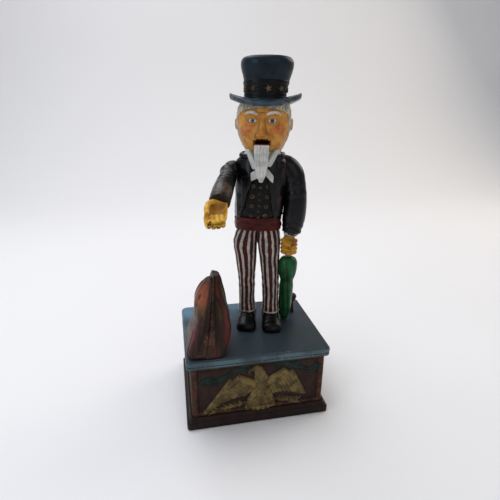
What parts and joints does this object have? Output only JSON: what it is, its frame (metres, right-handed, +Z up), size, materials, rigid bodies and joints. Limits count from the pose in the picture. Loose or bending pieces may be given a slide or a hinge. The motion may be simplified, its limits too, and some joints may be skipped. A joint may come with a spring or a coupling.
{
  "type": "mechanical coin bank",
  "caption": "Painted cast mechanical coin bank: a bearded gentleman in a top hat stands on a box and lowers a coin into an opening travelling bag.",
  "frame": {"origin": "middle of the box's underside", "axes": "+Z up, the figure and the decorated panel face -Y, the figure's raised arm and the bag are on the -X side"},
  "size_m": [0.124, 0.113, 0.291],
  "materials": {
    "brown_paint": "worn red-brown enamel on cast iron",
    "dark_paint": "worn dark brown enamel",
    "blue_paint": "slate-blue enamel with worn edges",
    "figure_paint": "glossy blue-black enamel, other colours by area",
    "coat_paint": "glossy blue-black enamel",
    "beard_paint": "greyish white enamel",
    "green_paint": "green enamel",
    "bag_paint": "brown and green enamel, worn",
    "bare_iron": "unpainted casting",
    "steel": "plain steel"
  },
  "bodies": {
    "bank": {"base_plate": "dark_paint", "front_panel": "brown_paint", "back_panel": "brown_paint", "left_panel": "brown_paint", "right_panel": "brown_paint", "top_plate": "blue_paint", "tie_screw_left": "steel", "tie_screw_right": "steel", "trap_rivet": "steel", "lever_pin": "steel", "return_spring": "steel", "figure_front": "figure_paint", "figure_back": "figure_paint", "figure_screw_hip": "steel", "figure_screw_chest": "steel", "figure_screw_hat": "steel", "foot_screw_front": "steel", "foot_screw_back": "steel", "umbrella": "green_paint", "jaw_pin": "steel", "bag_inner_half": "bag_paint", "bag_screw": "steel", "bag_pin": "steel"},
    "lever_body": {"lever": "bare_iron"},
    "rod_body": {"pull_rod": "steel"},
    "arm_body": {"right_arm": "coat_paint", "arm_shaft": "steel", "rod_crank": "bare_iron", "jaw_crank": "bare_iron"},
    "link_body": {"jaw_link": "steel"},
    "jaw_body": {"jaw_with_beard": "beard_paint"},
    "knob_body": {"press_knob": "dark_paint"},
    "bag_body": {"bag_outer_half": "bag_paint"},
    "trap_body": {"trap_door": "bare_iron"}
  },
  "joints": [
    {"name": "lever_press", "type": "hinge", "parent": "bank", "child": "lever_body", "pos_m": [0.02, 0, 0.044], "axis": [0, 1, 0], "range_deg": [0, 14.5], "stiffness_Nm_per_rad": 1, "springref_deg": -14.32, "deforming": ["return_spring"]},
    {"name": "rod_slide", "type": "slide", "parent": "bank", "child": "rod_body", "axis": [0, 0, 1], "range_m": [0, 0.00586]},
    {"name": "arm_swing", "type": "hinge", "parent": "bank", "child": "arm_body", "pos_m": [-0.0166, 0.008, 0.207], "axis": [1, 0, 0], "range_deg": [0, 43]},
    {"name": "jaw_link_slide", "type": "slide", "parent": "bank", "child": "link_body", "axis": [0, 0, -1], "range_m": [0, 0.00147]},
    {"name": "jaw_swing", "type": "hinge", "parent": "bank", "child": "jaw_body", "pos_m": [0.0106, -0.002, 0.236], "axis": [-1, 0, 0], "range_deg": [0, 10.5]},
    {"name": "knob_press", "type": "slide", "parent": "bank", "child": "knob_body", "axis": [0, 0, -1], "range_m": [0, 0.0059]},
    {"name": "bag_open", "type": "hinge", "parent": "bank", "child": "bag_body", "pos_m": [-0.052, -0.025, 0.069], "axis": [0, -1, 0], "range_deg": [0, 19.56]},
    {"name": "trap_swing", "type": "hinge", "parent": "bank", "child": "trap_body", "pos_m": [-0.02, 0.023, 0.004], "axis": [0, 0, 1], "range_deg": [0, 90]}
  ],
  "couplings": [
    {"joint": "rod_slide", "follows": "lever_press", "m_per_rad": 0.02313},
    {"joint": "arm_swing", "follows": "lever_press", "ratio": 2.9655},
    {"joint": "jaw_link_slide", "follows": "lever_press", "m_per_rad": 0.005792},
    {"joint": "jaw_swing", "follows": "lever_press", "ratio": 0.724},
    {"joint": "knob_press", "follows": "lever_press", "m_per_rad": 0.0233},
    {"joint": "bag_open", "follows": "lever_press", "ratio": 1.3489}
  ]
}
